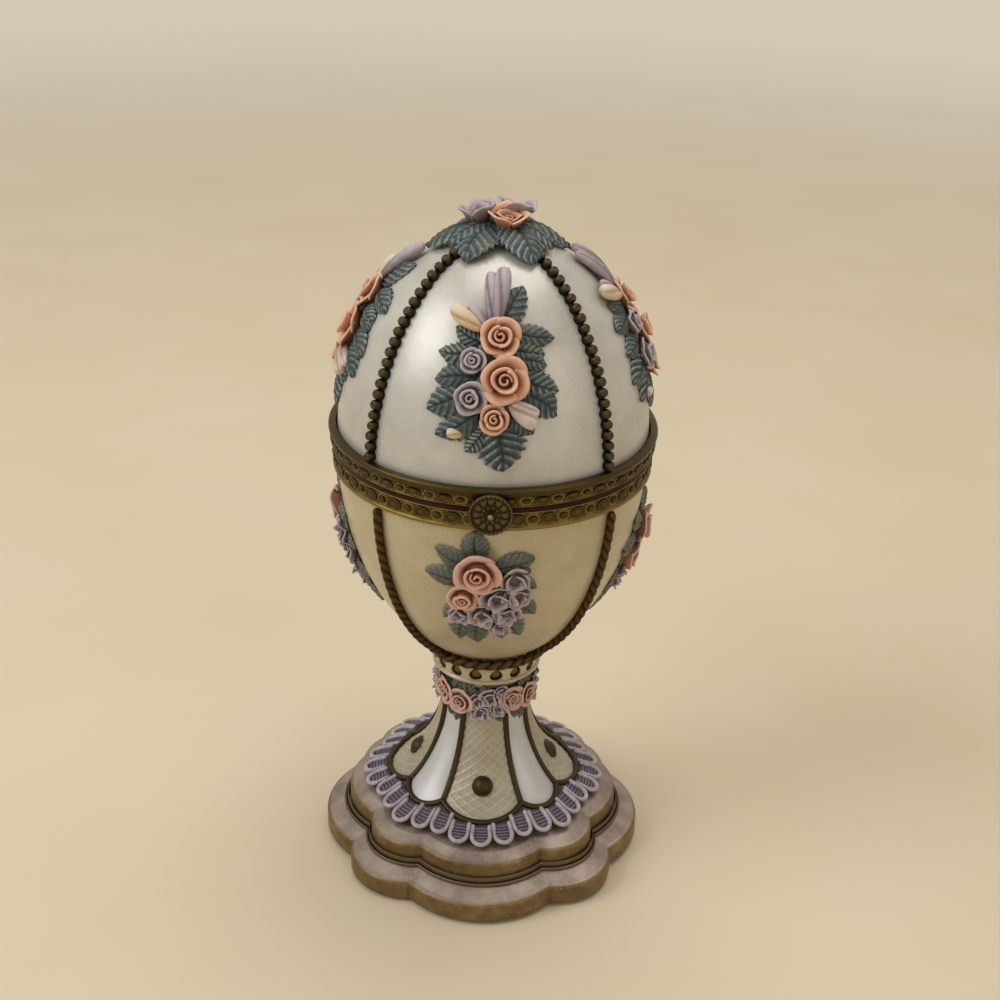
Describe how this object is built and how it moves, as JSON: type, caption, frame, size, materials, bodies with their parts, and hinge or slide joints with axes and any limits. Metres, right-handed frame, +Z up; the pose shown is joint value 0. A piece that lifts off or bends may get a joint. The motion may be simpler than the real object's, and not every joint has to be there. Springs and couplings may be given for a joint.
{
  "type": "egg trinket box on stand",
  "caption": "Egg-shaped trinket box with a hinged lid, raised flower sprays and beaded ribs, on a flared foot and a lobed plinth.",
  "frame": {"origin": "on the egg's axis, on the surface that the box stands on", "axes": "+Z up through the egg; -Y towards the clasp at the front; +X to the right seen from the front"},
  "size_m": [0.0676, 0.0699, 0.1421],
  "materials": {
    "felt": "short brown felt glued under the plinth",
    "plinth": "silvery mauve enamel over cast metal, satin",
    "old_gold": "antiqued gold plating, dark in the hollows",
    "pearl_enamel": "pearl white enamel with a soft sheen",
    "cream_enamel": "pearl cream enamel with a soft sheen",
    "lace_ground": "dull purple enamel ground",
    "lace": "lilac white enamel on raised cords",
    "leaf": "blue green enamel with pale veins",
    "pink_flower": "shaded pink enamel",
    "peach_flower": "shaded peach enamel",
    "lilac_flower": "shaded lilac enamel",
    "rope_gold": "twisted rope, antiqued gold brown",
    "bead_gold": "dark antiqued gold beads",
    "brass_band": "embossed antiqued brass",
    "lining": "smooth dark burgundy enamel"
  },
  "bodies": {
    "stand": {"bowl_flowers_back": "pink_flower", "bowl_flowers_front": "pink_flower", "bowl_flowers_left": "pink_flower", "bowl_flowers_right": "pink_flower", "bowl_leaves_back": "leaf", "bowl_leaves_front": "leaf", "bowl_leaves_left": "leaf", "bowl_leaves_right": "leaf", "bowl_lining": "lining", "bowl_rib_back_left": "rope_gold", "bowl_rib_back_right": "rope_gold", "bowl_rib_front_left": "rope_gold", "bowl_rib_front_right": "rope_gold", "bowl_shell": "cream_enamel", "catch_stud": "brass_band", "collar": "cream_enamel", "collar_liner": "old_gold", "felt_pad": "felt", "flared_foot": "pearl_enamel", "foot_wires": "old_gold", "hinge_pin": "brass_band", "lace_ground": "lace_ground", "lace_loops": "lace", "lower_band": "brass_band", "lower_hinge_leaf": "brass_band", "lower_plinth": "plinth", "neck_leaves": "leaf", "neck_roses": "pink_flower", "plinth_moulding": "old_gold", "rope_ring": "rope_gold", "stud_back": "old_gold", "stud_front": "old_gold", "stud_left": "old_gold", "stud_right": "old_gold", "upper_plinth": "plinth"},
    "lid": {"clasp_medallion": "old_gold", "crown_leaves": "leaf", "crown_rose_front": "peach_flower", "crown_rose_left": "lilac_flower", "crown_rose_right": "lilac_flower", "lid_flowers_back": "peach_flower", "lid_flowers_front": "peach_flower", "lid_flowers_left": "peach_flower", "lid_flowers_right": "peach_flower", "lid_leaves_back": "leaf", "lid_leaves_front": "leaf", "lid_leaves_left": "leaf", "lid_leaves_right": "leaf", "lid_lining": "lining", "lid_rib_back_left": "bead_gold", "lid_rib_back_right": "bead_gold", "lid_rib_front_left": "bead_gold", "lid_rib_front_right": "bead_gold", "lid_shell": "pearl_enamel", "medallion_bead": "old_gold", "upper_band": "brass_band", "upper_hinge_leaf": "brass_band"}
  },
  "joints": [
    {"name": "lid_hinge", "type": "hinge", "parent": "stand", "child": "lid", "pos_m": [0, 0.0338, 0.093], "axis": [-1, 0, 0], "range_deg": [0, 95]}
  ]
}
